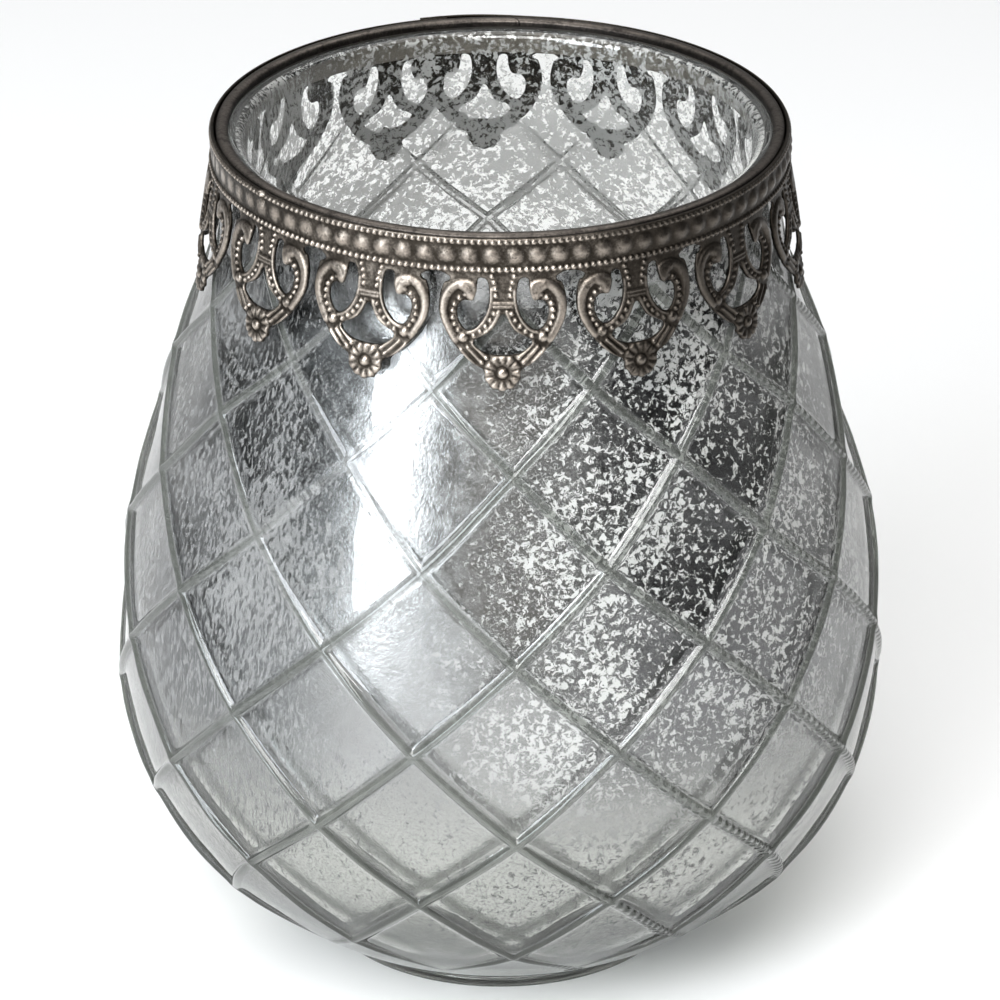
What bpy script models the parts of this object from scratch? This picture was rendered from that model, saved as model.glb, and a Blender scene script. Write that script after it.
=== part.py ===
"""A tealight holder: a ribbed, silvered glass bowl with a metal rim ring and a stamped openwork strip at its mouth.

The bowl stands on the ground plane with its axis on Z, and its front looks along -Y.
"""

import math

import bmesh
import bpy
from mathutils import Vector
from mathutils.geometry import delaunay_2d_cdt

MM = 0.001

# ---- Driving dimensions, in millimetres and degrees ----
RIM_RADIUS = 52.0  # outside of the stamped strip at the mouth
TOP = 160.0  # crown of the rim ring
CLEARANCE = 0.3  # between pieces that touch

# Glass bowl: (height, radius) of its outer and inner faces between the ribs
BOWL_OUTSIDE = (
    (158, 50.0), (146, 50.2), (131, 53.8), (115, 59.2), (97, 64.3), (78, 68.7), (60, 70.2),
    (45, 69.1), (32, 64.8), (21, 57.9), (13, 49.5), (7, 41.5), (3, 34.0),
)  # fmt: skip
BOWL_INSIDE = (
    (157, 46.2), (146, 46.0), (131, 49.5), (115, 54.7), (97, 59.7), (78, 64.0), (60, 65.4),
    (45, 64.1), (32, 59.4), (22, 51.6), (15, 41.5), (11, 31.0), (9.3, 22.0),
)  # fmt: skip
LIP_TOP = 158.3
LIP_ROUND = 1.2
FLOOR = 9.0  # inside floor, where a tealight stands
FLOOR_RADIUS = 21.0
FOOT_RADIUS = 33.4
FOOT_ROUND = 0.6
FOOT_RECESS_RADIUS = 25.0
FOOT_RECESS = 1.5
MERIDIANS = 24  # the ribs cross on every second one of them
LATTICE_TURN = 2.4
RIB_ROWS = (146, 131, 117, 100, 84, 67, 50, 35, 20, 10)  # heights of the rib crossings
RIB_RELIEF = (0, 0.6, 1.2, 1.5, 1.6, 1.6, 1.6, 1.5, 1.2, 0)  # how far each row's crossings stand out
RIB_HALF_WIDTH = 1.3
PANEL_SAG = 0.5  # the glass between the ribs is nearly flat
NECK_RING = 150.0

# Silvering on the inside of the glass
SILVER_THICKNESS = 0.3

# Rim ring: a crowned sheet-metal channel with an inner leg, inside the strip's upper edge
RING_RADIUS = 51.2
RING_WIDTH = 2.2
RING_RISE = 0.6
RING_SHEET = 0.4
RING_LEG_BOTTOM = 158.6
RING_STEPS = 84
CROWN_STEPS = 6
RING_JOIN_AT = 177.0
RING_JOIN_GAP = 0.3
RING_JOIN_SLANT = 45.0

# Adhesive that holds the ring and the strip on the glass
ADHESIVE_THICKNESS = 0.8
ADHESIVE_BOTTOM = 153.4

# Stamped strip: a band with pendants, lapped over its own start at the back
SHEET = 0.5
BAND_TOP = 159.6
BAND_BOTTOM = 153.1
PENDANTS = 14
PENDANT_PITCH = 26.1
FRONT_PENDANT = 7  # pendants after the strip's start that come before the one at the front
FRONT_PENDANT_AT = 0.6
PENDANT_TIP = (54.95, 132.0)  # radius of the sheet's middle, and height
LAP_LIFT = 0.9
LAP_RAMP = (172.0, 189.0)
BAND_COLUMNS = 6

# Half of a pendant, flat, from its centre line and down from the band's lower edge
PENDANT_EDGE = (
    (9.0, 0), (10.4, 2.2), (11.1, 5.0), (11.0, 7.8), (10.0, 10.4), (8.4, 12.9), (5.9, 15.6), (3.4, 17.2),
)  # fmt: skip
LOOP_OPENING = (
    (3.0, 1.2), (4.2, 1.0), (4.3, 3.4), (5.2, 4.9), (6.9, 4.9), (7.9, 6.2), (7.7, 8.6), (6.4, 10.2),
    (4.8, 9.6), (3.2, 7.4), (2.5, 4.6),
)  # fmt: skip
KITE_OPENING = ((0, 7.3), (1.9, 10.2), (5.1, 12.3), (3.1, 14.3), (0, 14.7))
ROSETTE_CENTRE = 17.9
ROSETTE_RADIUS = 3.3
ROSETTE_STEPS = 5


# ---- Helpers ----
def clear_scene():
    for obj in list(bpy.data.objects):
        bpy.data.objects.remove(obj, do_unlink=True)


def material(name, colour, roughness, metallic, alpha=1.0):
    made = bpy.data.materials.new(name)
    made.use_nodes = True
    shader = made.node_tree.nodes["Principled BSDF"]
    shader.inputs["Base Color"].default_value = (*colour, 1.0)
    shader.inputs["Roughness"].default_value = roughness
    shader.inputs["Metallic"].default_value = metallic
    shader.inputs["Alpha"].default_value = alpha
    made.diffuse_color = (*colour, alpha)
    return made


def add_object(name, mesh, look):
    mesh.materials.append(look)
    obj = bpy.data.objects.new(name, mesh)
    bpy.context.scene.collection.objects.link(obj)
    return obj


def smooth(mesh):
    mesh.shade_smooth()
    mesh.set_sharp_from_angle(angle=math.radians(35))


def on_turn(radius, turn, height):
    """The point at this radius, in degrees round from the front towards +X, and height, from millimetres."""
    angle = math.radians(turn)
    return Vector((radius * math.sin(angle), -radius * math.cos(angle), height)) * MM


def radius_at(outline, height):
    """The radius at a height on the smooth curve through an outline's (height, radius) points."""
    points = outline[::-1]
    last = len(points) - 1
    i = max(k for k in range(last) if points[k][0] <= height or k == 0)

    def slope(k):
        before, after = points[max(k - 1, 0)], points[min(k + 1, last)]
        return (after[1] - before[1]) / (after[0] - before[0])

    (low, start), (high, end) = points[i], points[i + 1]
    span = high - low
    t = (height - low) / span
    return (
        (2 * t**3 - 3 * t**2 + 1) * start
        + (t**3 - 2 * t**2 + t) * span * slope(i)
        + (3 * t**2 - 2 * t**3) * end
        + (t**3 - t**2) * span * slope(i + 1)
    )


def turned(name, section, steps, look):
    """A closed section of (radius, height) points, running down its outer side, turned once round Z."""
    mesh = bpy.data.meshes.new(name)
    count = len(section)
    edges = [(i, (i + 1) % count) for i in range(count)]
    mesh.from_pydata([(r * MM, 0, z * MM) for r, z in section], edges, [])
    obj = add_object(name, mesh, look)
    screw = obj.modifiers.new("turn", "SCREW")
    screw.steps = screw.render_steps = steps
    screw.use_merge_vertices = True
    screw.merge_threshold = 0.00001
    screw.use_smooth_shade = True
    return obj


# ---- Glass bowl ----
def lattice_rows(mesh):
    """Vertices at the rib crossings: {(row, meridian): vertex}."""
    nodes = {}
    for row, (height, relief) in enumerate(zip(RIB_ROWS, RIB_RELIEF)):
        for meridian in range(row % 2, MERIDIANS, 2):
            radius = radius_at(BOWL_OUTSIDE, height) + relief
            nodes[row, meridian] = mesh.verts.new(on_turn(radius, turn_of(meridian), height))
    return nodes


def turn_of(meridian):
    return LATTICE_TURN + meridian * 360 / MERIDIANS


def panel(mesh, nodes, row, meridian):
    """One diamond of glass with the inner flanks of its four ribs."""
    left, right = (meridian - 1) % MERIDIANS, (meridian + 1) % MERIDIANS
    height = RIB_ROWS[row]
    radius = radius_at(BOWL_OUTSIDE, height)
    side = math.degrees(RIB_HALF_WIDTH / radius)
    step = 360 / MERIDIANS
    turn = turn_of(meridian)
    ring = (
        (nodes[row - 1, meridian], turn, RIB_ROWS[row - 1] - RIB_HALF_WIDTH),
        (nodes[row, left], turn - step + side, height),
        (nodes[row + 1, meridian], turn, RIB_ROWS[row + 1] + RIB_HALF_WIDTH),
        (nodes[row, right], turn + step - side, height),
    )
    inner = [mesh.verts.new(on_turn(radius_at(BOWL_OUTSIDE, z), a, z)) for _, a, z in ring]
    middle = mesh.verts.new(on_turn(radius - PANEL_SAG, turn, height))
    for i in range(4):
        after = (i + 1) % 4
        mesh.faces.new((ring[i][0], ring[after][0], inner[after], inner[i]))
        mesh.faces.new((inner[i], inner[after], middle))


def half_panel(mesh, nodes, ring, edge_row, tip_row, meridian):
    """The glass between a plain ring, two faded crossings on edge_row, and the rib crossing at tip_row."""
    left, right = (meridian - 1) % MERIDIANS, (meridian + 1) % MERIDIANS
    start, end, tip = nodes[edge_row, left], nodes[edge_row, right], nodes[tip_row, meridian]
    towards = math.copysign(RIB_HALF_WIDTH, RIB_ROWS[edge_row] - RIB_ROWS[tip_row])
    height = RIB_ROWS[tip_row] + towards
    inner = mesh.verts.new(on_turn(radius_at(BOWL_OUTSIDE, height), turn_of(meridian), height))
    faces = (
        (start, tip, inner), (inner, tip, end), (start, inner, end),
        (ring[left], start, ring[meridian]), (ring[meridian], start, end), (ring[meridian], end, ring[right]),
    )  # fmt: skip
    for face in faces:
        mesh.faces.new(face)


def plain_ring(mesh, radius, height):
    return [mesh.verts.new(on_turn(radius, turn_of(m), height)) for m in range(MERIDIANS)]


def bridge(mesh, one, other):
    for m in range(MERIDIANS):
        after = (m + 1) % MERIDIANS
        mesh.faces.new((one[m], other[m], other[after], one[after]))


def glass_bowl(look):
    mesh = bmesh.new()
    nodes = lattice_rows(mesh)
    last = len(RIB_ROWS) - 1
    for row in range(1, last):
        for meridian in range((row + 1) % 2, MERIDIANS, 2):
            panel(mesh, nodes, row, meridian)
    neck = plain_ring(mesh, radius_at(BOWL_OUTSIDE, NECK_RING), NECK_RING)
    foot_height, foot_top = BOWL_OUTSIDE[-1]
    foot = plain_ring(mesh, foot_top, foot_height)
    for meridian in range(1, MERIDIANS, 2):
        half_panel(mesh, nodes, neck, 0, 1, meridian)
    for meridian in range((last + 1) % 2, MERIDIANS, 2):
        half_panel(mesh, nodes, foot, last, last - 1, meridian)

    lip_outside, lip_inside = BOWL_OUTSIDE[0][1], BOWL_INSIDE[0][1]
    over_lip = [
        (lip_outside, LIP_TOP - LIP_ROUND),
        (lip_outside - LIP_ROUND, LIP_TOP),
        (lip_inside + LIP_ROUND, LIP_TOP),
    ]
    down_inside = [(radius, height) for height, radius in BOWL_INSIDE] + [(FLOOR_RADIUS, FLOOR)]
    rings = [neck] + [plain_ring(mesh, *point) for point in over_lip + down_inside]
    under_foot = [
        (FOOT_RADIUS, FOOT_ROUND),
        (FOOT_RADIUS - FOOT_ROUND, 0),
        (FOOT_RECESS_RADIUS + FOOT_RECESS, 0),
        (FOOT_RECESS_RADIUS, FOOT_RECESS),
    ]
    foot_rings = [foot] + [plain_ring(mesh, *point) for point in under_foot]
    for chain in (rings, foot_rings):
        for one, other in zip(chain, chain[1:]):
            bridge(mesh, one, other)
        mesh.faces.new(chain[-1])

    bmesh.ops.triangulate(mesh, faces=mesh.faces[:])
    bmesh.ops.recalc_face_normals(mesh, faces=mesh.faces[:])
    made = bpy.data.meshes.new("glass_bowl")
    mesh.to_mesh(made)
    mesh.free()
    smooth(made)
    return add_object("glass_bowl", made, look)


# ---- Silvering ----
def inset_outline(points, distance):
    """A (radius, height) outline moved towards the bowl's inside by a distance square to itself."""
    moved = []
    for i, (radius, height) in enumerate(points):
        before, after = points[max(i - 1, 0)], points[min(i + 1, len(points) - 1)]
        run, rise = after[0] - before[0], after[1] - before[1]
        size = math.hypot(run, rise)
        moved.append((radius + rise / size * distance, height - run / size * distance))
    return moved


def silvering(look):
    wall = [(radius, height) for height, radius in BOWL_INSIDE]
    inside = wall + [(FLOOR_RADIUS, FLOOR), (0, FLOOR)]
    glass_side = inset_outline(inside, CLEARANCE)
    room_side = inset_outline(inside, CLEARANCE + SILVER_THICKNESS)
    obj = turned("silvering", glass_side + room_side[::-1], MERIDIANS, look)
    obj.rotation_euler.z = math.radians(LATTICE_TURN)
    return obj


# ---- Rim ring ----
def crown(half_width, rise):
    """A half ellipse over the ring's middle, from its outer side to its inner side."""
    middle = RING_RADIUS - RING_WIDTH / 2
    shoulder = TOP - RING_RISE
    turns = [math.pi * i / CROWN_STEPS for i in range(CROWN_STEPS + 1)]
    return [(middle + half_width * math.cos(a), shoulder + rise * math.sin(a)) for a in turns]


def rim_ring(look):
    outside = crown(RING_WIDTH / 2, RING_RISE)
    underside = crown(RING_WIDTH / 2 - RING_SHEET, RING_RISE - RING_SHEET)
    leg = [(outside[-1][0], RING_LEG_BOTTOM), (underside[-1][0], RING_LEG_BOTTOM)]
    section = outside + leg + underside[::-1]
    ring = turned("rim_ring", section[::-1], RING_STEPS, look)
    join = bpy.data.meshes.new("rim_ring_join")
    cut = bmesh.new()
    bmesh.ops.create_cube(cut, size=1)
    bmesh.ops.scale(cut, vec=Vector((RING_JOIN_GAP, 3 * RING_WIDTH, 3 * RING_WIDTH)) * MM, verts=cut.verts)
    cut.to_mesh(join)
    cut.free()
    cutter = bpy.data.objects.new("rim_ring_join_cutter", join)
    bpy.context.scene.collection.objects.link(cutter)
    cutter.location = on_turn(RING_RADIUS - RING_WIDTH / 2, RING_JOIN_AT, TOP)
    cutter.rotation_euler.z = math.radians(RING_JOIN_AT + RING_JOIN_SLANT)
    cutter.hide_render = True
    cutter.display_type = "WIRE"
    slit = ring.modifiers.new("join", "BOOLEAN")
    slit.operation = "DIFFERENCE"
    slit.object = cutter
    return ring


# ---- Adhesive ----
def adhesive_bead(look):
    inside = BOWL_OUTSIDE[0][1] + CLEARANCE
    outside = inside + ADHESIVE_THICKNESS
    over_lip = RING_RADIUS - RING_WIDTH + 2 * RING_SHEET
    ledge = LIP_TOP + CLEARANCE
    top = ledge + 0.5
    section = (
        (outside, top), (outside, ADHESIVE_BOTTOM), (inside, ADHESIVE_BOTTOM),
        (inside, ledge), (over_lip, ledge), (over_lip, top),
    )  # fmt: skip
    return turned("adhesive_bead", section, RING_STEPS // 2, look)


# ---- Stamped strip ----
def mirrored(points):
    """Both halves of an outline whose half starts and ends on its centre line or leaves it open there."""
    return list(points) + [(-s, t) for s, t in reversed(points) if s]


def pendant_outline():
    """Half of a pendant's outer edge, down to the lowest point of its rosette."""
    turns = [math.pi / 2 * (1 - i / ROSETTE_STEPS) for i in range(ROSETTE_STEPS + 1)]
    arc = [(ROSETTE_RADIUS * math.sin(a), ROSETTE_CENTRE + ROSETTE_RADIUS * math.cos(a)) for a in turns]
    return list(PENDANT_EDGE) + arc[:-1] + [(0, ROSETTE_CENTRE + ROSETTE_RADIUS)]


def strip_unit():
    """One pitch of the strip, flat: its 2D points and the triangles of sheet metal between them."""
    width = math.radians(PENDANT_PITCH) * band_radius()
    columns = [width * (i / BAND_COLUMNS - 0.5) for i in range(BAND_COLUMNS + 1)]
    upper_edge = [(s, BAND_BOTTOM - BAND_TOP) for s in columns]
    outer = upper_edge + [(columns[-1], 0)] + mirrored(pendant_outline()) + [(columns[0], 0)]
    left_loop = [(-s, t) for s, t in LOOP_OPENING]
    outlines = [outer, list(LOOP_OPENING), left_loop, mirrored(KITE_OPENING)]
    points, edges = [], []
    for outline in outlines:
        first = len(points)
        points += [Vector(p) for p in outline]
        edges += [(first + i, first + (i + 1) % len(outline)) for i in range(len(outline))]
    points += [Vector((s, 0)) for s in columns[1:-1]]
    found, _, faces, _, _, _ = delaunay_2d_cdt(points, edges, [], 1, 1e-5)
    kept = [f for f in faces if not any(inside(middle_of(found, f), hole) for hole in outlines[1:])]
    return found, kept


def middle_of(points, face):
    return sum((points[i] for i in face), Vector((0, 0))) / len(face)


def inside(point, outline):
    """Whether a point is inside an outline, by counting crossings."""
    crossings = 0
    for (ax, ay), (bx, by) in zip(outline, outline[1:] + outline[:1]):
        if (ay > point.y) != (by > point.y):
            crossings += point.x < ax + (point.y - ay) * (bx - ax) / (by - ay)
    return crossings % 2 == 1


def band_radius():
    return RIM_RADIUS - SHEET / 2


def wrapped(pendant_turn, s, t):
    """A flat point of a pendant's unit laid on the band's cylinder, or below it on the pendants' cone."""
    tip_radius, tip_height = PENDANT_TIP
    length = math.hypot(tip_radius - band_radius(), BAND_BOTTOM - tip_height)
    share = max(t, 0) / length
    radius = band_radius() + (tip_radius - band_radius()) * share
    height = BAND_BOTTOM - min(t, 0) - (BAND_BOTTOM - tip_height) * share
    turn = pendant_turn + math.degrees(s / radius)
    start, end = LAP_RAMP
    ramp = min(max((turn - start) / (end - start), 0), 1)
    return on_turn(radius + LAP_LIFT * ramp * ramp * (3 - 2 * ramp), turn, height)


def stamped_strip(look):
    points, faces = strip_unit()
    mesh = bmesh.new()
    for k in range(PENDANTS):
        turn = FRONT_PENDANT_AT + (k - FRONT_PENDANT + 1) * PENDANT_PITCH
        verts = [mesh.verts.new(wrapped(turn, *point)) for point in points]
        for face in faces:
            mesh.faces.new([verts[i] for i in face])
    bmesh.ops.remove_doubles(mesh, verts=mesh.verts[:], dist=0.00001)
    bmesh.ops.recalc_face_normals(mesh, faces=mesh.faces[:])
    made = bpy.data.meshes.new("stamped_strip")
    mesh.to_mesh(made)
    mesh.free()
    strip = add_object("stamped_strip", made, look)
    sheet = strip.modifiers.new("sheet", "SOLIDIFY")
    sheet.thickness = SHEET * MM
    sheet.offset = 0
    return strip


def build():
    clear_scene()
    glass = material("clear_glass", (0.80, 0.84, 0.82), 0.05, 0.0, 0.35)
    silver = material("mottled_silvering", (0.78, 0.79, 0.80), 0.22, 1.0)
    metal = material("aged_pewter", (0.20, 0.17, 0.15), 0.42, 1.0)
    ring_metal = material("darkened_pewter", (0.10, 0.09, 0.08), 0.38, 1.0)
    glue = material("adhesive", (0.55, 0.53, 0.48), 0.5, 0.0)
    glass_bowl(glass)
    silvering(silver)
    rim_ring(ring_metal)
    adhesive_bead(glue)
    stamped_strip(metal)


build()
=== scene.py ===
"""The looks of a silvered, ribbed glass tealight holder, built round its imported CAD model."""

import math

import bmesh
import bpy
import numpy as np
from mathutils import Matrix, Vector, noise


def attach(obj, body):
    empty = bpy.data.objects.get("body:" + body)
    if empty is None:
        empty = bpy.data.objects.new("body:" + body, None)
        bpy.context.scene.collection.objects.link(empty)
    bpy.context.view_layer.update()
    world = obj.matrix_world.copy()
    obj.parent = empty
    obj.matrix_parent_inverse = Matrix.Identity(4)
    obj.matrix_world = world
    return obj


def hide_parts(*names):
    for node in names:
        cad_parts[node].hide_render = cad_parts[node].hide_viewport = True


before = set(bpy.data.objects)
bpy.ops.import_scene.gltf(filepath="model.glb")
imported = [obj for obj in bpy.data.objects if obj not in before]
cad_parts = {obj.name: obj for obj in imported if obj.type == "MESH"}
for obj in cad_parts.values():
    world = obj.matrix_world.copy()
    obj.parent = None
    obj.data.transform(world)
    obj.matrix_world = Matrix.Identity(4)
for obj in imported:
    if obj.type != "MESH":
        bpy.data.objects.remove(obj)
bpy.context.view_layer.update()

MM = 0.001
TAU = 2 * math.pi

# ---- Shape, in millimetres and degrees, as in the CAD model ----
BOWL_OUTSIDE = (
    (158, 50.0), (146, 50.2), (131, 53.8), (115, 59.2), (97, 64.3), (78, 68.7), (60, 70.2),
    (45, 69.1), (32, 64.8), (21, 57.9), (13, 49.5), (7, 41.5), (3, 34.0),
)
BOWL_INSIDE = (
    (157, 46.2), (146, 46.0), (131, 49.5), (115, 54.7), (97, 59.7), (78, 64.0), (60, 65.4),
    (45, 64.1), (32, 59.4), (22, 51.6), (15, 41.5), (11, 31.0), (9.3, 22.0),
)
LIP_TOP = 158.3
LIP_ROUND = 1.6
FLOOR = 9.0
FLOOR_RADIUS = 21.0
FOOT_RADIUS = 33.4
FOOT_ROUND = 0.6
FOOT_RECESS_RADIUS = 25.0
FOOT_RECESS = 1.5
# The lattice: 12 + 12 ribs that cross on 24 meridians, at the heights in RIB_ROWS
MERIDIANS = 24
LATTICE_TURN = 2.4
RIB_ROWS = (146, 131, 117, 100, 84, 67, 50, 35, 20, 10)
EDGE_MARGIN = 1.2
NECK_ROWS = 8
RIB_HEIGHT = 0.90
RIB_HALF_WIDTH = 0.95
CROSSING_HEIGHT = 0.25
CROSSING_WIDTH = 1.3
PANEL_SAG = 0.80
INNER_SAG = 0.70
# The place on the upper front left where the pattern hardly shows: its middle, reach and lower edge
WORN_AT = -27.0
WORN_REACH = 27.0
WORN_FROM = 74.0
WORN_FADE = 22
# How far the film's two sides are set in from the glass's inside. Below 0 is within the glass
FILM_OUTSIDE = -0.16
FILM_INSIDE = -0.10

RIM_RADIUS = 52.0
TOP = 160.0
RING_RADIUS = 51.2
RING_WIDTH = 2.2
RING_RISE = 0.6
RING_SHEET = 0.4
RING_LEG_BOTTOM = 158.6
RING_JOIN_AT = 177.0
RING_JOIN_GAP = 0.25
RING_COLUMNS = 360
CROWN_STEPS = 13

SHEET = 0.5
BAND_TOP = 159.6
BAND_BOTTOM = 153.1
PENDANTS = 14
PENDANT_PITCH = 26.1
FRONT_PENDANT = 6
FRONT_PENDANT_AT = 0.6
PENDANT_TIP = (54.95, 132.0)
PENDANT_SWAY = 0.56
PENDANT_STAND = 0.35
LAP_LIFT = 0.9
LAP_RAMP = (172.0, 189.0)
STRIP_COLUMNS = 112
BAND_LINES = 33
PENDANT_LINES = 102

# One pendant's outline and openings: (across, down) from the middle of the band's lower edge
PENDANT_EDGE = (
    (9.0, 0), (10.4, 2.2), (11.1, 5.0), (11.0, 7.8), (10.0, 10.4), (8.4, 12.9), (5.9, 15.6), (3.4, 17.2),
)
LOOP_OPENING = (
    (2.8, 1.3), (4.3, 1.0), (4.6, 3.2), (5.3, 4.9), (6.9, 5.0), (7.9, 6.3), (7.7, 8.6), (6.4, 10.3),
    (4.7, 9.7), (3.0, 7.4), (2.35, 4.4),
)
KITE_OPENING = ((0, 7.3), (1.9, 10.2), (5.1, 12.3), (3.1, 14.3), (0, 14.7))
ROSETTE_CENTRE = 17.9
ROSETTE_RADIUS = 3.3

# ---- Relief of the strip: (across, down) in millimetres from the middle of the band's lower edge ----
BAND_BEADS = 20
BEAD_ROWS = ((-5.75, 0.46, 0.40), (-0.62, 0.52, 0.46))
BAND_LIP = ((-20, -6.35), (20, -6.35))
BAND_BOSSES = 6
BOSS_LEVEL = -3.3
BOSS_HEIGHT = 0.60
BOSS_REACH = 1.95
SMOOTH_STRETCH = (-98.0, -42.0)
NOTCH_AT = -53.0
NOTCH_SIZE = (1.0, 3.2)
OUTER_RIM = (
    (5.2, 4.6), (4.75, 3.3), (5.6, 2.2), (7.2, 2.0), (8.9, 2.9), (10.1, 4.9), (10.3, 7.4), (9.5, 9.8),
    (8.3, 11.9),
)
VOLUTE = ((7.0, 2.3), (6.0, 2.9), (5.55, 3.9))
LOOP_RIM = ((2.1, 3.2), (2.2, 5.4), (2.9, 7.7), (4.3, 9.8), (6.0, 10.75))
KITE_RIM = ((0.7, 6.9), (1.3, 8.6), (2.4, 10.2), (3.9, 11.6), (5.2, 12.6))
STEM_BARS = (((0, 5.45), (1.7, 5.45)), ((0, 6.1), (1.6, 6.1)))
BARS = (((5.0, 12.9), (2.8, 15.2)), ((6.1, 13.4), (3.6, 16.0)), ((7.3, 13.9), (4.6, 16.9)))
ARM_BEADS = ((6.6, 3.9), (7.6, 4.6), (8.45, 5.7), (8.75, 6.9), (8.75, 8.15), (8.4, 9.3), (7.75, 10.35))
LOWER_ARM_BEADS = ((1.55, 7.3), (2.2, 8.5), (3.0, 9.6), (3.95, 10.5), (5.05, 11.3))
STEM_BEADS = ((1.95, 0.6), (1.6, 1.7), (1.35, 2.9), (1.25, 4.1))
ARM_END = (6.95, 11.6)
ROUNDED_EDGE = 0.3
EDGE_DROP = 0.16

# ---- Camera: its place in millimetres, its pitch in degrees, its lens and sensor in millimetres ----
CAMERA_BACK = 1152.0
CAMERA_HEIGHT = 641.0
CAMERA_PITCH = 25.79
CAMERA_LENS = 249.7
CAMERA_SENSOR = 36

# ---- Room: grey shapes round the object, each with its turn, its tilt and its soft edge in degrees ----
ROOM = (0.115, 0.115, 0.112, 1)
WALLS = (
    (180, 10, 40, 100, (0.24, 0.24, 0.235, 1)),
    (58, 20, 20, 42, (0.015, 0.015, 0.017, 1)),
    (-75, 35, 15, 35, (0.05, 0.05, 0.052, 1)),
    (0, 8, 10, 22, (0.50, 0.475, 0.45, 1)),
    (27, 6, 4, 9, (1.1, 1.1, 1.08, 1)),
)

# ---- Table top, in metres ----
FLOOR_HALF_SIZE = 4.0
FLOOR_GAP = 0.0002

# ---- Softboxes: name, place, aim, width and height in metres, power in watts, colour ----
SOFTBOXES = (
    ("overhead", (0.0, 0.45, 1.9), (0, 0, 0), 2.0, 2.0, 25, (1, 1, 1)),
    ("front_top", (-0.12, -0.62, 0.74), (0, -0.12, 0), 0.5, 0.5, 9.0, (1, 1, 1)),
    ("left_strip", (-0.78, -1.05, 0.58), (0, 0, 0.09), 0.50, 1.16, 19, (0.88, 0.94, 1.0)),
)

# ---- Looks: turns round the object in degrees, heights in metres, colours as linear RGB and alpha ----
GLASS_BODY = (0.950, 0.956, 0.938, 1)
GLASS_SHADOW = (0.91, 0.92, 0.90, 1)
GLASS_IOR = 1.5
# Painted shade on the ribs: a grey-green colour with less transmission, darker near the foot and weaker at
# the back.
PAINTED_RIB_SHADE = (0.20, 0.21, 0.19, 1)
PAINTED_RIB_SHADE_LOW = (0.05, 0.055, 0.045, 1)
RIB_TRANSMISSION = 0.72
PAINTED_RIB_SHADE_AT_BACK = 0.25
FOOT_ZONE = (0.01, 0.06)
RUNGS_PER_PANEL = 11
RUNGS_AT = 50

FLAKES_DARK = (0.24, 0.24, 0.24, 1)
FLAKES_BRIGHT = (0.30, 0.30, 0.30, 1)
# Painted shade: the film's flakes darker on the right and on the left.
FLAKES_IN_PAINTED_SHADE_RIGHT = (0.15, 0.15, 0.155, 1)
FLAKES_IN_PAINTED_SHADE_LEFT = (0.13, 0.135, 0.14, 1)
# Painted reflection of the bright table: the flakes lighter low down.
FLAKES_PAINTED_REFLECTION_LOW = (0.46, 0.465, 0.44, 1)
FLAKES_FROM_INSIDE = (0.55, 0.55, 0.54, 1)
# Painted light seen through the film's gaps: dim in front and bright on the right.
GAPS_PAINTED_LIGHT_FRONT = (0.20, 0.20, 0.205, 1)
GAPS_PAINTED_LIGHT_RIGHT = (0.56, 0.56, 0.55, 1)
# Painted shade: the gaps darker low down.
GAPS_PAINTED_SHADE_LOW = (0.10, 0.10, 0.095, 1)
# How much of each gap in front its painted light colour covers.
PAINTED_GAP_COVER = 0.62
GAP_LEVEL = 0.533
GAP_LEVEL_LOW = 0.538
MORE_GAPS_AT = ((-55, 0.4, 0.9, 0.026), (180, 0.2, 0.8, 0.024))
MORE_GAPS_ON_TOP = 0.03
WHOLE_FILM_AT = -18
STREAKS_AT = -75
LOW_ZONE = (0.035, 0.070)
TOP_ZONE = (0.140, 0.152)

STRIP_DARK = (0.030, 0.025, 0.020, 1)
STRIP_BRIGHT = (0.47, 0.41, 0.35, 1)
RING_DARK = (0.025, 0.022, 0.020, 1)
RING_BRIGHT = (0.24, 0.21, 0.185, 1)
# Turn of the side where the metal gets painted shade.
PAINTED_SHADE_AT = 90
GLUE_DARK = (0.05, 0.045, 0.038, 1)
GLUE_BRIGHT = (0.12, 0.105, 0.09, 1)
FLOOR_DARK = (0.86, 0.86, 0.86, 1)
FLOOR_BRIGHT = (0.90, 0.90, 0.90, 1)


# ---- Curves and meshes ----
def smooth_curve(points, steps=16):
    """A dense (x, y) table along the smooth curve y(x) through points that are sorted by x."""
    points = np.array(points, float)
    if points[0, 0] > points[-1, 0]:
        points = points[::-1]
    x, y = points.T
    slopes = np.empty(len(x))
    slopes[1:-1] = (y[2:] - y[:-2]) / (x[2:] - x[:-2])
    slopes[0] = (y[1] - y[0]) / (x[1] - x[0])
    slopes[-1] = (y[-1] - y[-2]) / (x[-1] - x[-2])
    t = np.linspace(0, 1, steps, endpoint=False)[None, :]
    span = np.diff(x)[:, None]
    found = (
        (2 * t**3 - 3 * t**2 + 1) * y[:-1, None]
        + (t**3 - 2 * t**2 + t) * span * slopes[:-1, None]
        + (3 * t**2 - 2 * t**3) * y[1:, None]
        + (t**3 - t**2) * span * slopes[1:, None]
    )
    return np.append((x[:-1, None] + t * span).ravel(), x[-1]), np.append(found.ravel(), y[-1])


def follow(table, at):
    """y at any x of a smooth curve's table."""
    return np.interp(at, *table)


def on_turn(radius, turn, height):
    """Points in metres, from radius and height in millimetres and turn in degrees from the front to +X."""
    angle = np.radians(turn)
    radius, angle, height = np.broadcast_arrays(radius, angle, height)
    return np.stack([radius * np.sin(angle), -radius * np.cos(angle), height], -1) * MM


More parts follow.
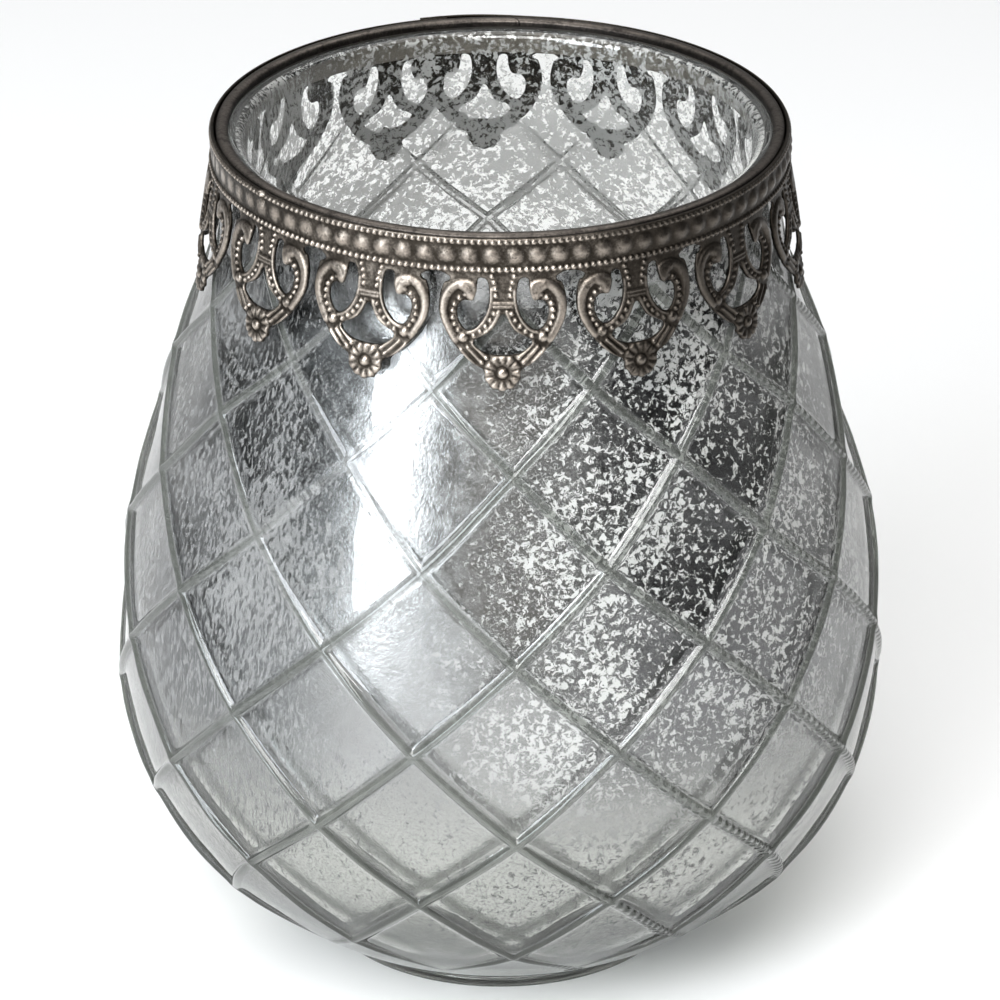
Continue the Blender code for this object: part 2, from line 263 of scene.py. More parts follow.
def add_mesh(name, points, faces, material, attributes=()):
    """A smooth-shaded object. faces is a list of index arrays, each of triangles or of quads."""
    mesh = bpy.data.meshes.new(name)
    mesh.from_pydata(points.reshape(-1, 3).tolist(), [], [f for some in faces for f in some.tolist()])
    mesh.shade_smooth()
    for label, values in attributes:
        attribute = mesh.attributes.new(label, "FLOAT", "POINT")
        attribute.data.foreach_set("value", np.ravel(values).astype(np.float32))
    mesh.materials.append(material)
    mesh.update()
    obj = bpy.data.objects.new(name, mesh)
    bpy.context.scene.collection.objects.link(obj)
    return obj


def waves(points, size, seed):
    """Smooth noise from -1 to 1 at each point, with features of about size millimetres."""
    shift = Vector((seed * 7.3, seed * 3.1, seed * 5.7))
    flat = points.reshape(-1, 3) / (size * MM)
    return np.array([noise.noise(Vector(p) + shift) for p in flat]).reshape(points.shape[:-1])


def ring_faces(rows, columns):
    """Quads between rows of vertices that close round the axis."""
    row, column = np.meshgrid(np.arange(rows - 1), np.arange(columns), indexing="ij")
    after = (column + 1) % columns
    here, below = row * columns, (row + 1) * columns
    return np.stack([here + column, below + column, below + after, here + after], -1).reshape(-1, 4)


def recalculate_normals(obj):
    mesh = bmesh.new()
    mesh.from_mesh(obj.data)
    bmesh.ops.recalc_face_normals(mesh, faces=mesh.faces[:])
    mesh.to_mesh(obj.data)
    mesh.free()


# ---- Shader helpers ----
class Shader:
    """A short way to write a node material."""

    def __init__(self, name):
        self.material = bpy.data.materials.new(name)
        self.material.use_nodes = True
        self.tree = self.material.node_tree
        self.main = self.tree.nodes["Principled BSDF"]
        self.output = self.tree.nodes["Material Output"]
        self.place = self.node("ShaderNodeTexCoord").outputs["Object"]

    def node(self, kind, **settings):
        made = self.tree.nodes.new(kind)
        for key, value in settings.items():
            setattr(made, key, value)
        return made

    def link(self, source, target):
        self.tree.links.new(source, target)

    def put(self, target, value):
        if isinstance(value, bpy.types.NodeSocket):
            self.link(value, target)
        else:
            target.default_value = value

    def noise(self, per_metre, detail=3.0, rough=0.55, distortion=0.0, shift=0.0, tall=1.0):
        """Noise from 0 to 1. tall above 1 draws its shapes out upwards."""
        mapping = self.node("ShaderNodeMapping")
        self.link(self.place, mapping.inputs["Vector"])
        mapping.inputs["Location"].default_value = (shift, shift * 0.7, shift * 1.3)
        mapping.inputs["Scale"].default_value = (1, 1, 1 / tall)
        made = self.node("ShaderNodeTexNoise")
        self.link(mapping.outputs["Vector"], made.inputs["Vector"])
        made.inputs["Scale"].default_value = per_metre
        made.inputs["Detail"].default_value = detail
        made.inputs["Roughness"].default_value = rough
        made.inputs["Distortion"].default_value = distortion
        return made.outputs["Fac"]

    def ramp(self, value, low, high, start=0.0, end=1.0):
        """value mapped from low..high to start..end, clamped, with soft ends."""
        made = self.node("ShaderNodeMapRange", interpolation_type="SMOOTHSTEP")
        self.put(made.inputs["Value"], value)
        self.put(made.inputs["From Min"], low)
        self.put(made.inputs["From Max"], high)
        made.inputs["To Min"].default_value = start
        made.inputs["To Max"].default_value = end
        return made.outputs["Result"]

    def math(self, operation, one, other=0.0):
        made = self.node("ShaderNodeMath", operation=operation)
        self.put(made.inputs[0], one)
        self.put(made.inputs[1], other)
        return made.outputs[0]

    def mix(self, factor, one, other, kind="RGBA"):
        """A colour between two colours or, where kind is FLOAT, a value between two values."""
        made = self.node("ShaderNodeMix", data_type=kind)
        self.put(made.inputs["Factor"], factor)
        self.put(made.inputs["A"], one)
        self.put(made.inputs["B"], other)
        return made.outputs["Result"]

    def bump(self, height, distance, strength=1.0):
        made = self.node("ShaderNodeBump")
        made.inputs["Strength"].default_value = strength
        made.inputs["Distance"].default_value = distance
        self.link(height, made.inputs["Height"])
        self.link(made.outputs["Normal"], self.main.inputs["Normal"])

    def attribute(self, name):
        return self.node("ShaderNodeAttribute", attribute_name=name).outputs["Fac"]

    def facing(self, turn):
        """1 on the side of the object at this turn, -1 on the opposite side."""
        flat = self.node("ShaderNodeVectorMath", operation="MULTIPLY")
        self.link(self.place, flat.inputs[0])
        flat.inputs[1].default_value = (1, 1, 0)
        unit = self.node("ShaderNodeVectorMath", operation="NORMALIZE")
        self.link(flat.outputs["Vector"], unit.inputs[0])
        dot = self.node("ShaderNodeVectorMath", operation="DOT_PRODUCT")
        self.link(unit.outputs["Vector"], dot.inputs[0])
        angle = math.radians(turn)
        dot.inputs[1].default_value = (math.sin(angle), -math.cos(angle), 0)
        return dot.outputs["Value"]

    def height(self):
        """Height above the table, in metres."""
        made = self.node("ShaderNodeSeparateXYZ")
        self.link(self.place, made.inputs["Vector"])
        return made.outputs["Z"]


# ---- Materials ----
def clear_glass():
    """Pressed clear glass with a faint grey-green body, painted shade on the ribs, gentle waves and a few
    seeds.
    """
    s = Shader("clear_glass")
    main = s.main.inputs
    # Painted shade on the ribs, weaker at the back and darker near the foot, with less transmission there.
    rib = s.math("MULTIPLY", s.attribute("rib"), s.ramp(s.facing(0), -0.5, 0.0, PAINTED_RIB_SHADE_AT_BACK, 1.0))
    painted_rib_shade = s.mix(s.ramp(s.height(), *FOOT_ZONE), PAINTED_RIB_SHADE_LOW, PAINTED_RIB_SHADE)
    s.put(main["Base Color"], s.mix(s.ramp(rib, 0.05, 0.5), GLASS_BODY, painted_rib_shade))
    main["IOR"].default_value = GLASS_IOR
    s.put(main["Transmission Weight"], s.ramp(rib, 0.05, 0.5, 1.0, RIB_TRANSMISSION))
    seeds = s.ramp(s.noise(180, 4, 0.6), 0.45, 0.75, 0.0, 0.04)
    s.put(main["Roughness"], s.math("ADD", seeds, s.ramp(rib, 0, 0.5, 0, 0.08)))
    phase = s.math("MULTIPLY", s.attribute("along"), TAU * RUNGS_PER_PANEL)
    rungs = s.math("MULTIPLY", s.math("SINE", phase), s.attribute("rung"))
    rungs = s.math("MULTIPLY", rungs, s.ramp(s.facing(RUNGS_AT), 0.72, 0.95))
    s.bump(s.math("ADD", s.noise(70, 2, 0.5), s.math("MULTIPLY", rungs, 1.2)), 0.0006, 0.25)
    let_light_through(s)
    return s.material


def let_light_through(s):
    """Shadow rays pass the glass with a faint tint, so that light reaches what is inside and behind it."""
    through = s.node("ShaderNodeBsdfTransparent")
    through.inputs["Color"].default_value = GLASS_SHADOW
    light = s.node("ShaderNodeLightPath")
    both = s.node("ShaderNodeMixShader")
    s.link(light.outputs["Is Shadow Ray"], both.inputs["Fac"])
    s.link(s.main.outputs["BSDF"], both.inputs[1])
    s.link(through.outputs["BSDF"], both.inputs[2])
    s.link(both.outputs["Shader"], s.output.inputs["Surface"])


def film_gaps(s):
    """1 in the film's worm-shaped gaps and 0 on its flakes. How many there are changes round and up."""
    round_worms = s.noise(780, 6, 0.74, 0.6)
    tall_worms = s.noise(1500, 6, 0.72, 0.5, shift=2.0, tall=3.4)
    worms = s.mix(s.ramp(s.facing(STREAKS_AT), 0.25, 0.8), round_worms, tall_worms, "FLOAT")
    patches = s.math("MULTIPLY", s.math("SUBTRACT", s.noise(42, 2, 0.5, shift=1.0), 0.5), 0.26)
    whole = s.math("MULTIPLY", s.ramp(s.facing(WHOLE_FILM_AT), 0.88, 0.99), 0.06)
    level = s.math("ADD", patches, whole)
    for turn, begins, ends, more in MORE_GAPS_AT:
        level = s.math("SUBTRACT", level, s.ramp(s.facing(turn), begins, ends, 0.0, more))
    level = s.math("SUBTRACT", level, s.ramp(s.height(), *TOP_ZONE, 0.0, MORE_GAPS_ON_TOP))
    level = s.math("ADD", level, s.ramp(s.height(), *LOW_ZONE, GAP_LEVEL_LOW, GAP_LEVEL))
    large = s.ramp(s.math("SUBTRACT", worms, level), -0.003, 0.004)
    grainy = s.ramp(s.facing(-8), 0.72, 0.97, 0.0, 0.5)
    small = s.math("MULTIPLY", s.ramp(s.noise(2300, 3, 0.7, shift=6.0), 0.545, 0.575), grainy)
    return s.math("MAXIMUM", large, small)


def film_colours(s, cloud, room):
    """The colours of the film's flakes, with painted shade on the right and left and a painted reflection low
    down, and the painted light seen through its gaps.
    """
    low = s.ramp(s.height(), *LOW_ZONE, 1.0, 0.0)
    flakes = s.mix(cloud, FLAKES_DARK, FLAKES_BRIGHT)
    # Painted shade on the flakes on the right and on the left.
    flakes = s.mix(s.ramp(s.facing(35), 0.80, 1.0), flakes, FLAKES_IN_PAINTED_SHADE_RIGHT)
    flakes = s.mix(s.ramp(s.facing(-50), 0.88, 1.0), flakes, FLAKES_IN_PAINTED_SHADE_LEFT)
    # Painted reflection: the flakes lighter low down.
    flakes = s.mix(low, flakes, FLAKES_PAINTED_REFLECTION_LOW)
    flakes = s.mix(room, flakes, FLAKES_FROM_INSIDE)
    # Painted light in the gaps, brighter towards the right.
    painted_gap_light = s.mix(s.ramp(s.facing(60), 0.1, 0.8), GAPS_PAINTED_LIGHT_FRONT, GAPS_PAINTED_LIGHT_RIGHT)
    # Painted shade: the gaps darker low down.
    return flakes, s.mix(low, painted_gap_light, GAPS_PAINTED_SHADE_LOW)


def mottled_silver():
    """Mirror film that broke up into ragged flakes as it set. In front its gaps are partly covered by a
    painted colour that stands in for the light seen through them; behind they are clear.
    """
    s = Shader("mottled_silver")
    main = s.main.inputs
    cloud = s.noise(300, 3, 0.6, shift=3.0)
    room = s.attribute("room_side")
    gaps = film_gaps(s)
    flakes, painted_gap_light = film_colours(s, cloud, room)
    film = s.math("SUBTRACT", 1.0, gaps)
    s.put(main["Base Color"], s.mix(gaps, flakes, painted_gap_light))
    s.put(main["Metallic"], s.math("MULTIPLY", s.ramp(room, 0, 1, 1.0, 0.6), film))
    polish = s.ramp(cloud, 0.35, 0.65, 0.16, 0.26)
    s.put(main["Roughness"], s.math("ADD", polish, s.math("MULTIPLY", room, 0.25)))
    # In front, the gaps are partly covered by their painted light colour.
    gap_paint_cover = s.math("MULTIPLY", s.ramp(s.facing(0), -0.1, 0.4, 0.0, PAINTED_GAP_COVER), gaps)
    dense = s.ramp(s.facing(5), -0.1, 0.5, 0.50, 0.93)
    s.put(main["Alpha"], s.math("ADD", gap_paint_cover, s.math("MULTIPLY", dense, film)))
    s.bump(s.math("ADD", s.noise(1400, 2), cloud), 0.00006, 0.6)
    return s.material


def darker(colour, share):
    return tuple(share * c for c in colour[:3]) + (1,)


def aged_metal(name, dark, bright, rubbed, right_shade_amount):
    """Patinated brass: dark in the hollows and rubbed bright where it stands out, with painted shade on its
    right side.

    rubbed is the roughness of rubbed metal; the last argument is how far the painted shade takes its
    brightness on the right side."""
    s = Shader(name)
    main = s.main.inputs
    cloud = s.noise(150, 4, 0.65, shift=4.0)
    grain = s.noise(1900, 4, 0.7, shift=5.0)
    worn = s.math("ADD", s.attribute("wear"), s.math("MULTIPLY", s.math("SUBTRACT", cloud, 0.5), 0.6))
    worn = s.math("ADD", worn, s.math("MULTIPLY", s.math("SUBTRACT", grain, 0.5), 0.7))
    rub = s.ramp(worn, 0.20, 1.05)
    stain = s.ramp(s.noise(420, 4, 0.7, shift=7.0), 0.56, 0.66, 0.0, 0.65)
    # Painted shade: the bright metal darkened on the right side of the object.
    right_shade_mask = s.ramp(s.facing(PAINTED_SHADE_AT), 0.12, 0.55, 0.0, right_shade_amount)
    bright = s.mix(right_shade_mask, bright, darker(bright, 0.25))
    s.put(main["Base Color"], s.mix(stain, s.mix(rub, dark, bright), darker(dark, 0.7)))
    main["Metallic"].default_value = 1.0
    s.put(main["Roughness"], s.math("ADD", s.ramp(rub, 0, 1, 0.46, rubbed), s.math("MULTIPLY", stain, 0.15)))
    s.bump(s.math("ADD", s.math("MULTIPLY", cloud, 0.5), grain), 0.00010, 0.7)
    return s.material


def set_glue():
    """Old brown adhesive, a little see-through."""
    s = Shader("set_glue")
    main = s.main.inputs
    cloud = s.noise(220, 4, 0.6)
    s.put(main["Base Color"], s.mix(cloud, GLUE_DARK, GLUE_BRIGHT))
    s.put(main["Roughness"], s.ramp(cloud, 0.3, 0.7, 0.35, 0.6))
    main["Transmission Weight"].default_value = 0.2
    s.bump(s.noise(500, 3), 0.0002, 0.6)
    return s.material


def studio_floor():
    s = Shader("studio_floor")
    main = s.main.inputs
    s.put(main["Base Color"], s.mix(s.noise(3, 3), FLOOR_DARK, FLOOR_BRIGHT))
    main["Roughness"].default_value = 0.75
    return s.material


# ---- Glass bowl ----
FINE_STEPS = (0, 0.011, 0.022, 0.033, 0.045, 0.062, 0.09, 0.14, 0.22, 0.32, 0.41, 0.5)
COARSE_STEPS = (0, 0.015, 0.035, 0.07, 0.14, 0.24, 0.36, 0.5)
LAST_ROW = len(RIB_ROWS) - 1


def mirrored_steps(near):
    """Fractions of a rib's length at which the mesh has a line: close beside ribs, wide across a panel."""
    return np.array(near + tuple(1 - f for f in near[-2:0:-1]))


def lattice_places(near):
    """Where the ribbed zone has vertices: how far along each family of ribs, and their turn."""
    steps = mirrored_steps(near)
    per_rib = len(steps)
    columns = MERIDIANS // 2 * per_rib
    i = np.arange(columns)[None, :]
    j = np.arange(LAST_ROW * per_rib + 1)[:, None]

    def along(index):
        return index // per_rib + steps[index % per_rib]

    a, b = along(i + 0 * j), along(i - j)
    return a, b, LATTICE_TURN + (a + b) * 360 / MERIDIANS


def lattice_heights(row):
    return follow(smooth_curve(list(enumerate(RIB_ROWS))), row)


def edge_fade(row):
    """0 at the ribbed zone's upper and lower edges, 1 inside it."""
    return np.clip(row / 1.6, 0, 1) * np.clip((LAST_ROW - row) / 0.8, 0, 1)


def panel_hollow(a, b):
    """How far a panel is flattened at each place: 0 along its ribs, 1 in its middle."""
    return (16 * (a % 1) * (1 - a % 1) * (b % 1) * (1 - b % 1)) ** 0.8


def worn_mould(turn, height):
    """1 on the upper front left, where the pattern hardly shows, falling to 0 away from it."""
    away = (turn - WORN_AT + 180) % 360 - 180
    return np.exp(-((away / WORN_REACH) ** 2)) * np.clip((height - WORN_FROM) / WORN_FADE, 0, 1)


def bowl_lattice():
    """The ribbed outer surface. It gives the points and, for each, the turn, how far it is up a rib of either
    family, how far up one of the second family, and its place along the first, counted in panels."""
    a, b, turn = lattice_places(FINE_STEPS)
    height = lattice_heights(a - b)
    radius = follow(smooth_curve(BOWL_OUTSIDE), height)
    across = radius * math.radians(360 / MERIDIANS)
    down = 2 * np.abs(lattice_heights(a - b + 0.5) - height)
    edge = np.hypot(across, np.maximum(down, 12))
    to_a, to_b = (np.abs(x - np.round(x)) * edge for x in (a, b))
    base = on_turn(radius, turn, height)
    unevenness = 1 + 0.22 * waves(base, 9, 1)
    rib = np.maximum(rib_profile(to_a), rib_profile(to_b))
    blob = np.exp(-(to_a**2 + to_b**2) / CROSSING_WIDTH**2)
    sharp = 1 - 0.80 * worn_mould(turn, height)
    relief = (RIB_HEIGHT * rib + CROSSING_HEIGHT * blob) * unevenness
    pattern = sharp * (relief - PANEL_SAG * panel_hollow(a, b)) * edge_fade(a - b)
    radius = radius + pattern + 0.06 * waves(base, 16, 2)
    return on_turn(radius, turn, height), turn, rib * sharp, rib_profile(to_b), a


def rib_profile(away):
    """A rib's rounded cross-section, 1 at its crest, with a small fillet where it leaves the panel."""
    round_top = np.clip(1 - (away / RIB_HALF_WIDTH) ** 2.3, 0, 1) ** 0.7
    return np.maximum(round_top, 0.16 * np.exp(-(((away - RIB_HALF_WIDTH * 0.9) / 0.35) ** 2)))


def inner_lattice(near, inset):
    """The inside of the ribbed zone, which the mould left softly faceted, set in from the glass by inset."""
    a, b, turn = lattice_places(near)
    outside, inside = (np.stack(smooth_curve(outline), -1) for outline in (BOWL_OUTSIDE, BOWL_INSIDE))
    rows = np.linspace(0, LAST_ROW, 91)
    heights = lattice_heights(rows)
    radii = np.interp(heights, *outside.T)
    away = np.hypot(inside[None, :, 0] - heights[:, None], inside[None, :, 1] - radii[:, None])
    nearest = inside[away.argmin(1)]
    height = np.interp(a - b, rows, nearest[:, 0])
    radius = np.interp(height, *inside.T)
    sag = INNER_SAG * panel_hollow(a, b) * edge_fade(a - b) * (1 - 0.85 * worn_mould(turn, height))
    normal = np.arctan2(np.gradient(inside[:, 1]), np.gradient(inside[:, 0]))
    tilt = np.interp(height, inside[:, 0], normal)
    push = sag + inset
    return on_turn(radius - push * np.cos(tilt), turn, height + push * np.sin(tilt)), turn


def turned_rows(outline, turn):
    return np.stack([on_turn(radius, turn, height) for radius, height in outline])


def arc(centre, size, start, end, steps):
    """(radius, height) points on a quarter round, from start to end degrees."""
    turns = np.radians(np.linspace(start, end, steps))
    return [(centre[0] + size * math.cos(t), centre[1] + size * math.sin(t)) for t in turns]


def lattice_quads(rows, columns):
    """Faces of the ribbed zone: quads along the ribs, and triangles at its upper and lower edges."""

    def at(i, j):
        return j * columns + i % columns

    i, j = np.meshgrid(np.arange(columns), np.arange(1, rows - 1), indexing="xy")
    quads = np.stack([at(i, j), at(i + 1, j + 1), at(i + 1, j), at(i, j - 1)], -1).reshape(-1, 4)
    i = np.arange(columns)
    top = np.stack([at(i, 0), at(i + 1, 1), at(i + 1, 0)], -1)
    end = rows - 1
    bottom = np.stack([at(i, end), at(i + 1, end), at(i, end - 1)], -1)
    return quads, top, bottom


def bridge(first, second, columns):
    """Quads between two rings of vertices that start at these indices."""
    here = np.arange(columns)
    after = (here + 1) % columns
    return np.stack([first + here, second + here, second + after, first + after], -1)


class Skin:
    """A surface built from rings and ribbed zones, each joined to the one before."""

    def __init__(self, columns):
        self.columns = columns
        self.points = []
        self.faces = []
        self.count = 0
        self.end = None

    def add(self, block, faces, first, last):
        if self.end is not None:
            self.faces.append(bridge(self.end, self.count + first, self.columns))
        self.faces += [f + self.count for f in faces]
        self.points.append(block.reshape(-1, 3))
        self.end = self.count + last
        self.count += block.shape[0] * self.columns

    def rings(self, outline, turn):
        block = turned_rows(outline, turn)
        last = (len(outline) - 1) * self.columns
        self.add(block, [ring_faces(len(outline), self.columns)], 0, last)

    def lattice(self, block):
        last = (block.shape[0] - 1) * self.columns
        self.add(block, lattice_quads(*block.shape[:2]), 0, last)

    def lattice_upwards(self, block):
        last = (block.shape[0] - 1) * self.columns
        self.add(block, lattice_quads(*block.shape[:2]), last, 0)


def inner_bottom(turn, inset=0.0):
    """(radius, height) places from the ribbed zone's lower edge inside to the middle of the floor."""
    table = smooth_curve(BOWL_INSIDE)
    start = BOWL_INSIDE[-3][0] - EDGE_MARGIN
    heights = np.linspace(start, BOWL_INSIDE[-1][0], 9)
    wall = [(float(follow(table, z)) - inset, z + inset) for z in heights]
    return wall + [(r - inset, FLOOR + inset) for r in (FLOOR_RADIUS, 17, 12, 7, 3, 0.6)]


def bowl_glass(material):
    """The whole glass as one closed skin: floor, inside, lip, ribbed outside, foot and recess."""
    inner, _ = inner_lattice(FINE_STEPS, 0)
    outer, outer_turn, rib, rung, along = bowl_lattice()
    top_turn, low_turn = outer_turn[0], outer_turn[-1]
    outside, inside = smooth_curve(BOWL_OUTSIDE), smooth_curve(BOWL_INSIDE)
    outer_lip, inner_lip = BOWL_OUTSIDE[0][1], BOWL_INSIDE[0][1]
    round_at = LIP_TOP - LIP_ROUND
    neck_start = RIB_ROWS[0] + EDGE_MARGIN
    inner_neck = [(follow(inside, z), z) for z in np.linspace(neck_start, round_at - 1, NECK_ROWS)]
    lip = arc((inner_lip + LIP_ROUND, round_at), LIP_ROUND, 180, 90, 7)
    lip += arc((outer_lip - LIP_ROUND, round_at), LIP_ROUND, 90, 0, 7)
    outer_neck = [(follow(outside, z), z) for z in np.linspace(round_at - 0.7, neck_start, NECK_ROWS)]
    foot = [(follow(outside, z), z) for z in (8.6, 7.2, 5.8, 4.4, 3.4)]
    foot += [(34.0, 2.7), (33.7, 2.2), (FOOT_RADIUS, 1.6), (FOOT_RADIUS, FOOT_ROUND + 0.3)]
    foot += arc((FOOT_RADIUS - FOOT_ROUND, FOOT_ROUND), FOOT_ROUND, 0, -90, 5)
    recess = FOOT_RECESS_RADIUS
    foot += [(recess + 2.0, 0), (recess + 1.2, 0.3), (recess + 0.4, 1.0), (recess - 0.4, FOOT_RECESS)]
    foot += [(r, FOOT_RECESS + 0.2) for r in (22, 16, 10, 5, 0.6)]
    skin = Skin(outer.shape[1])
    skin.rings(inner_bottom(low_turn)[::-1], low_turn)
    skin.lattice_upwards(inner)
    skin.rings(inner_neck + lip + outer_neck, top_turn)
    start = skin.count
    skin.lattice(outer)
    skin.rings(foot, low_turn)
    labels = []
    for label, values in (("rib", rib), ("rung", rung), ("along", along)):
        labels.append((label, np.zeros(skin.count)))
        labels[-1][1][start : start + values.size] = values.ravel()
    middle = np.arange(skin.columns)
    caps = [middle[None, :], middle[None, :] + skin.count - skin.columns]
    obj = add_mesh("bowl_glass", np.concatenate(skin.points), skin.faces + caps, material, labels)
    recalculate_normals(obj)
    return obj


# ---- Silver film ----
def film_skin(inset):
    """One side of the film, just inside the glass's surface: from the floor up and half over the lip."""
    block, turn = inner_lattice(COARSE_STEPS, inset)
    inside = smooth_curve(BOWL_INSIDE)
    inner_lip, round_at = BOWL_INSIDE[0][1], LIP_TOP - LIP_ROUND
    skin = Skin(block.shape[1])
    skin.rings(inner_bottom(turn[-1], inset)[::-1], turn[-1])
    skin.lattice_upwards(block)
    heights = np.linspace(RIB_ROWS[0] + EDGE_MARGIN, round_at - 1, NECK_ROWS)
    neck = [(float(follow(inside, z)) - inset, z) for z in heights]
    lip = arc((inner_lip + LIP_ROUND, round_at), LIP_ROUND + inset, 175, 98, 8)
    skin.rings(neck + lip, turn[0])
    return skin


def silver_film(material):
    """A thin closed skin on the inside of the glass."""
    glass_side, room_side = film_skin(FILM_OUTSIDE), film_skin(FILM_INSIDE)
    columns, count = glass_side.columns, glass_side.count
    middle = np.arange(columns)
    faces = glass_side.faces + [middle[None, :]]
    faces += [f + count for f in faces]
    faces.append(bridge(glass_side.end, room_side.end + count, columns))
    points = np.concatenate(glass_side.points + room_side.points)
    side = np.repeat([0.0, 1.0], count)
    obj = add_mesh("silver_film", points, faces, material, [("room_side", side)])
    recalculate_normals(obj)
    return obj


# ---- Stamped strip ----
def between(p0, p1, p2, p3, t):
    """The smooth curve from p1 to p2 that also heeds the points before and after them."""
    bend = (2 * p0 - 5 * p1 + 4 * p2 - p3) * t**2
    return 0.5 * (2 * p1 + (p2 - p0) * t + bend + (3 * p1 - p0 - 3 * p2 + p3) * t**3)


def closed_curve(points, steps=8):
    """A smooth closed outline through a few points."""
    p = np.array(points, float)
    t = np.linspace(0, 1, steps, endpoint=False)[:, None]
    corners = [[p[(i + k) % len(p)] for k in (-1, 0, 1, 2)] for i in range(len(p))]
    return np.concatenate([between(*four, t) for four in corners])


def open_curve(points, steps=5):
    """A smooth line through a few points, as a list of (across, down)."""
    p = np.array(points, float)
    p = np.concatenate([p[:1], p, p[-1:]])
    t = np.linspace(0, 1, steps, endpoint=False)[:, None]
    found = np.concatenate([between(*four, t) for four in zip(p, p[1:], p[2:], p[3:])])
    return [tuple(place) for place in found.tolist()] + [tuple(points[-1])]


def outline_distance(points, outline):
    """Signed distance from points to a closed outline, negative inside."""
    start, end = outline, np.roll(outline, -1, 0)
    edge = end - start
    rel = points[:, None, :] - start[None]
    share = np.clip((rel * edge).sum(-1) / np.maximum((edge**2).sum(-1), 1e-12), 0, 1)
    distance = np.linalg.norm(rel - share[..., None] * edge, axis=-1).min(1)
    py, ay, by = points[:, None, 1], start[None, :, 1], end[None, :, 1]
    with np.errstate(divide="ignore", invalid="ignore"):
        cross = points[:, None, 0] < start[None, :, 0] + (py - ay) * edge[None, :, 0] / (by - ay)
    inside = (((ay > py) != (by > py)) & cross).sum(1) % 2 == 1
    return np.where(inside, -distance, distance)


def mirrored(points):
    return list(points) + [(-s, t) for s, t in reversed(points) if s]


def unit_outlines():
    """The sheet's outer outline for one pendant with its stretch of band, and its three openings."""
    turns = np.radians(np.linspace(90, 0, 13))
    scallop = ROSETTE_RADIUS - 0.12 + 0.14 * np.cos(10 * turns)
    rosette = [
        (float(r * math.sin(a)), float(ROSETTE_CENTRE + r * math.cos(a))) for r, a in zip(scallop, turns)
    ]
    rosette[-1] = (0.0, rosette[-1][1])
    half = open_curve([(15.0, -0.02), (12.2, 0), (10.6, 0.1), (9.25, 0.9), (9.6, 1.7), *PENDANT_EDGE[1:]])
    top = BAND_BOTTOM - BAND_TOP
    outer = np.array([(-15.0, top), (15.0, top)] + mirrored(half + rosette))
    loop = closed_curve(LOOP_OPENING)
    kite = closed_curve(mirrored(KITE_OPENING), 6)
    return outer, (loop, loop * (-1, 1), kite)


def sheet_distance(points, outlines):
    outer, openings = outlines
    found = outline_distance(points, outer)
    for opening in openings:
        found = np.maximum(found, -outline_distance(points, opening))
    return found


def stroke(points, path, width, height):
    """A rounded ridge along an open path of points."""
    path = np.array(path, float)
    start, edge = path[:-1], np.diff(path, axis=0)
    rel = points[:, None, :] - start[None]
    share = np.clip((rel * edge).sum(-1) / (edge**2).sum(-1), 0, 1)
    distance = np.linalg.norm(rel - share[..., None] * edge, axis=-1).min(1)
    return height * np.sqrt(np.clip(1 - (distance / width) ** 2, 0, 1))


def bead(points, centre, size, height):
    distance = np.linalg.norm(points - np.array(centre), axis=1)
    return height * np.sqrt(np.clip(1 - (distance / size) ** 2, 0, 1))


def unit_relief(points, distance):
    """How far the stamping stands out over one unit of the strip, in millimetres."""
    half = np.abs(points) * (1, 0) + points * (0, 1)
    ridges = [(open_curve(OUTER_RIM), 0.86, 0.44), (VOLUTE, 1.0, 0.55)]
    ridges += [(open_curve(rim), 0.34, 0.26) for rim in (LOOP_RIM, KITE_RIM)]
    ridges += [(bar, 0.26, 0.24) for bar in STEM_BARS]
    ridges += [(bar, 0.36, 0.34) for bar in BARS]
    beads = [(bar[1], 0.46, 0.5) for bar in BARS] + [(ARM_END, 0.95, 0.6)]
    for row, size in ((ARM_BEADS, 0.46), (LOWER_ARM_BEADS, 0.42), (STEM_BEADS, 0.42)):
        beads += [(centre, size, size) for centre in row]
    found = rosette_relief(points)
    for path, width, height in ridges:
        found = np.maximum(found, stroke(half, path, width, height))
    for centre, size, height in beads:
        found = np.maximum(found, bead(half, centre, size, height))
    for level, size, height in BEAD_ROWS:
        found = np.maximum(found, bead(in_row(points, BAND_BEADS), (0, level), size, height))
    found = np.maximum(found, stroke(points, BAND_LIP, 0.3, 0.16))
    rounded = np.clip(-distance / ROUNDED_EDGE, 0, 1)
    return found - EDGE_DROP * (1 - np.sqrt(1 - (1 - rounded) ** 2))


def in_row(points, count):
    """Points as seen from the nearest of so many equal places along one unit of the band."""
    pitch = unit_width() / count
    beside = points[:, 0] / pitch - 0.5
    return np.stack([(beside - np.round(beside)) * pitch, points[:, 1]], -1)


def boss_relief(points):
    """The band's row of low domes, which nearly touch."""
    away = np.linalg.norm(in_row(points, BAND_BOSSES) - (0, BOSS_LEVEL), axis=1)
    return BOSS_HEIGHT * np.cos(np.clip(away / BOSS_REACH, 0, 1) * math.pi / 2) ** 1.4


def worn_smooth(turn):
    """How much of the bosses is left: they are pressed nearly flat along a stretch of the front left."""
    left = np.clip((turn - SMOOTH_STRETCH[0]) / 14, 0, 1)
    right = np.clip((turn - SMOOTH_STRETCH[1]) / 9, 0, 1)
    return 1 - 0.85 * (left - right)


def notch(turn, t):
    """A V-shaped dent under the ring with a turned-up edge beside it."""
    beside = np.radians(turn - NOTCH_AT) * band_radius()
    half = np.clip(NOTCH_SIZE[0] * (1 - (t - BAND_BOTTOM + BAND_TOP) / NOTCH_SIZE[1]), 0.01, None)
    open_here = t < BAND_BOTTOM - BAND_TOP + NOTCH_SIZE[1]
    dent = -0.34 * np.clip(1 - np.abs(beside) / half, 0, 1) ** 0.6
    edge = 0.30 * np.exp(-(((beside + half + 0.2) / 0.3) ** 2))
    return np.where(open_here, dent + edge, 0)


